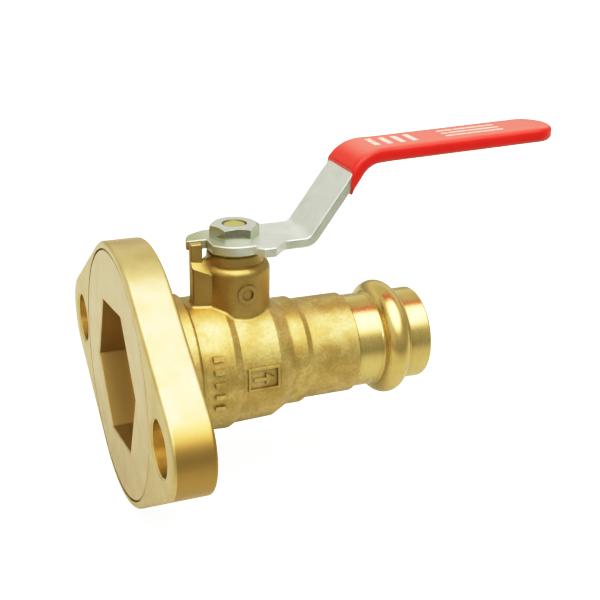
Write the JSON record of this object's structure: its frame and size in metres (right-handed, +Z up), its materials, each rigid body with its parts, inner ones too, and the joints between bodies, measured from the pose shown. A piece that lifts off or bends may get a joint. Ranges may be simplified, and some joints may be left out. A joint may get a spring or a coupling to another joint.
{
  "type": "flanged ball valve",
  "caption": "Quarter-turn brass ball valve with a swivel two-bolt flange at one end, a press socket at the other and a coated steel lever.",
  "frame": {"origin": "centre of the flange's mating face, on the flow axis", "axes": "+X along the flow axis from the flange face towards the press socket, +Z up along the stem, the two flange bolts on the Y axis; lever at rest points along +X, which is open"},
  "size_m": [0.1218, 0.1042, 0.0905],
  "materials": {
    "forged_brass": "as forged, satin, machined bright at the press socket",
    "machined_brass": "fine turned",
    "flange_brass": "satin machined",
    "stem_brass": "turned",
    "ball_chrome": "hard chrome plated brass",
    "seat_plastic": "white fluoropolymer",
    "seal_rubber": "moulded",
    "lever_steel": "pale zinc-plated pressed steel",
    "nut_zinc": "bright zinc plate",
    "grip_vinyl": "dipped vinyl, glossy red"
  },
  "bodies": {
    "valve": {"valve_body": "forged_brass", "tailpiece": "machined_brass", "tailpiece_oring": "seal_rubber", "inlet_seat": "seat_plastic", "outlet_seat": "seat_plastic", "stem_thrust_washer": "seat_plastic", "packing_ring_lower": "seat_plastic", "packing_ring_upper": "seat_plastic", "packing_nut": "stem_brass", "press_oring": "seal_rubber"},
    "flange": {"swivel_flange": "flange_brass"},
    "lever": {"lever_plate": "lever_steel", "lever_grip": "grip_vinyl", "lever_nut": "nut_zinc", "stem": "stem_brass", "stem_oring_lower": "seal_rubber", "stem_oring_upper": "seal_rubber"},
    "ball": {"ball": "ball_chrome"}
  },
  "joints": [
    {"name": "lever_turn", "type": "hinge", "parent": "valve", "child": "lever", "pos_m": [0.0316, 0, 0], "axis": [0, 0, 1], "range_deg": [-90, 0]},
    {"name": "ball_turn", "type": "hinge", "parent": "valve", "child": "ball", "pos_m": [0.0316, 0, 0], "axis": [0, 0, 1], "range_deg": [-90, 0]},
    {"name": "flange_swivel", "type": "hinge", "parent": "valve", "child": "flange", "pos_m": [0, 0, 0], "axis": [1, 0, 0], "continuous": true}
  ],
  "couplings": [
    {"joint": "ball_turn", "follows": "lever_turn", "ratio": 1}
  ]
}
